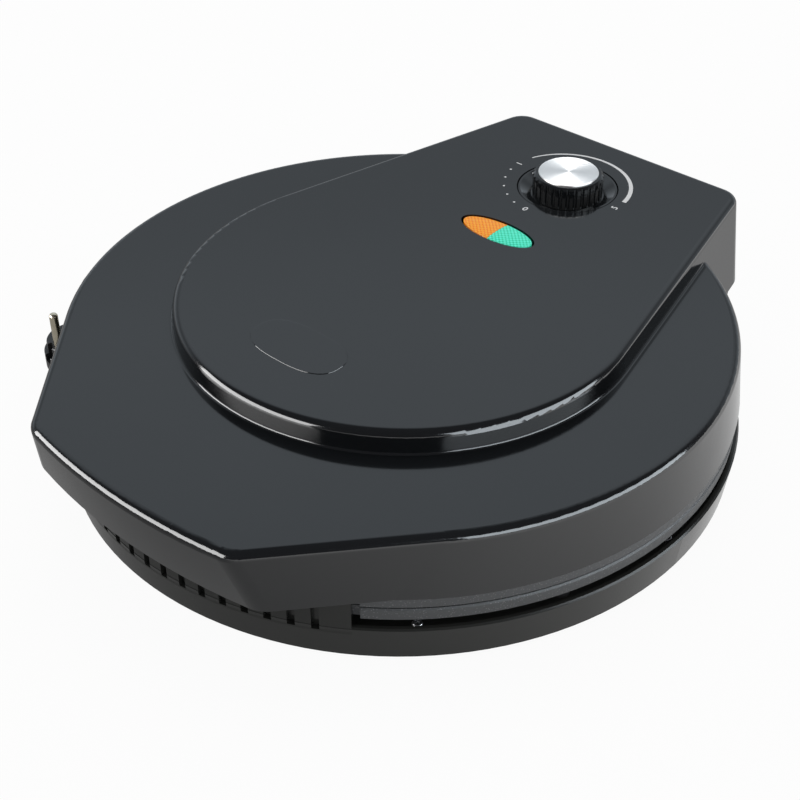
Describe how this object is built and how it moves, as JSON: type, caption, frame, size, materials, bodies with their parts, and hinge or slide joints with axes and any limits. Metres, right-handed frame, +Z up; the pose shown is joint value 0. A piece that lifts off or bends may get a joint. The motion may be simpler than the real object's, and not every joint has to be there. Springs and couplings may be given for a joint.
{
  "type": "electric pizza maker",
  "caption": "Electric pizza maker: low round base, gloss black hinged lid with a flat handle, raised housing, thermostat knob and two lamps; mains lead coiled behind.",
  "frame": {"origin": "on the table, under the middle of the closed object's outline without its mains lead", "axes": "+Z up, +Y from the handle towards the hinge, +X to the right seen from the handle"},
  "size_m": [0.4046, 0.3827, 0.0912],
  "materials": {
    "black_gloss_plastic": "glossy moulded plastic",
    "black_matt_plastic": "moulded plastic",
    "black_rubber": "soft black",
    "non_stick": "speckled non-stick coating on cast metal",
    "steel": "bright steel",
    "reflector_sheet": "thin bright sheet",
    "spun_aluminium": "spun, brushed in circles",
    "nickel_brass": "nickel-plated brass",
    "ceramic_white": "pale heat-proof moulding",
    "wire_sleeve": "pale heat-proof sleeve",
    "amber_lens": "ribbed clear amber",
    "green_lens": "ribbed clear green",
    "lamp_glass": "clear",
    "white_paint": "grey-white mark"
  },
  "bodies": {
    "base": {"base_shell": "black_gloss_plastic", "bottom_cover": "black_matt_plastic", "rubber_feet": "black_rubber", "rim_screws": "steel", "lower_plate": "non_stick", "lower_plate_screws": "steel", "lower_heater": "steel", "lower_reflector": "reflector_sheet", "lower_reflector_screws": "steel", "hinge_block": "black_gloss_plastic", "hinge_pins": "steel", "base_connector": "ceramic_white", "mains_cores": "wire_sleeve", "lower_heater_leads": "wire_sleeve", "strain_relief": "black_matt_plastic", "cord_lead": "black_rubber", "cord_coil": "black_rubber", "cord_tail": "black_rubber", "plug_body": "black_matt_plastic", "plug_pins": "nickel_brass"},
    "lid": {"lid_cover": "black_gloss_plastic", "handle_underside": "black_matt_plastic", "handle_screws": "steel", "upper_plate": "non_stick", "upper_plate_screws": "steel", "upper_heater": "steel", "upper_reflector": "reflector_sheet", "upper_reflector_screws": "steel", "lid_connector": "ceramic_white", "upper_heater_leads": "wire_sleeve", "thermal_fuse": "wire_sleeve", "fuse_clip": "steel", "thermostat": "ceramic_white", "thermostat_bracket": "steel", "thermostat_screws": "steel", "amber_lens": "amber_lens", "green_lens": "green_lens", "lamp_holder": "black_matt_plastic", "neon_lamps": "lamp_glass"},
    "knob": {"knob": "black_matt_plastic", "knob_cap": "spun_aluminium", "knob_pointer": "white_paint", "thermostat_spindle": "steel"}
  },
  "joints": [
    {"name": "lid_hinge", "type": "hinge", "parent": "base", "child": "lid", "pos_m": [0, 0.17543, 0.021], "axis": [-1, 0, 0], "range_deg": [0, 95]},
    {"name": "knob_turn", "type": "hinge", "parent": "lid", "child": "knob", "pos_m": [0, 0.12843, 0.0772], "axis": [0, 0, 1], "range_deg": [-173, 97]}
  ]
}
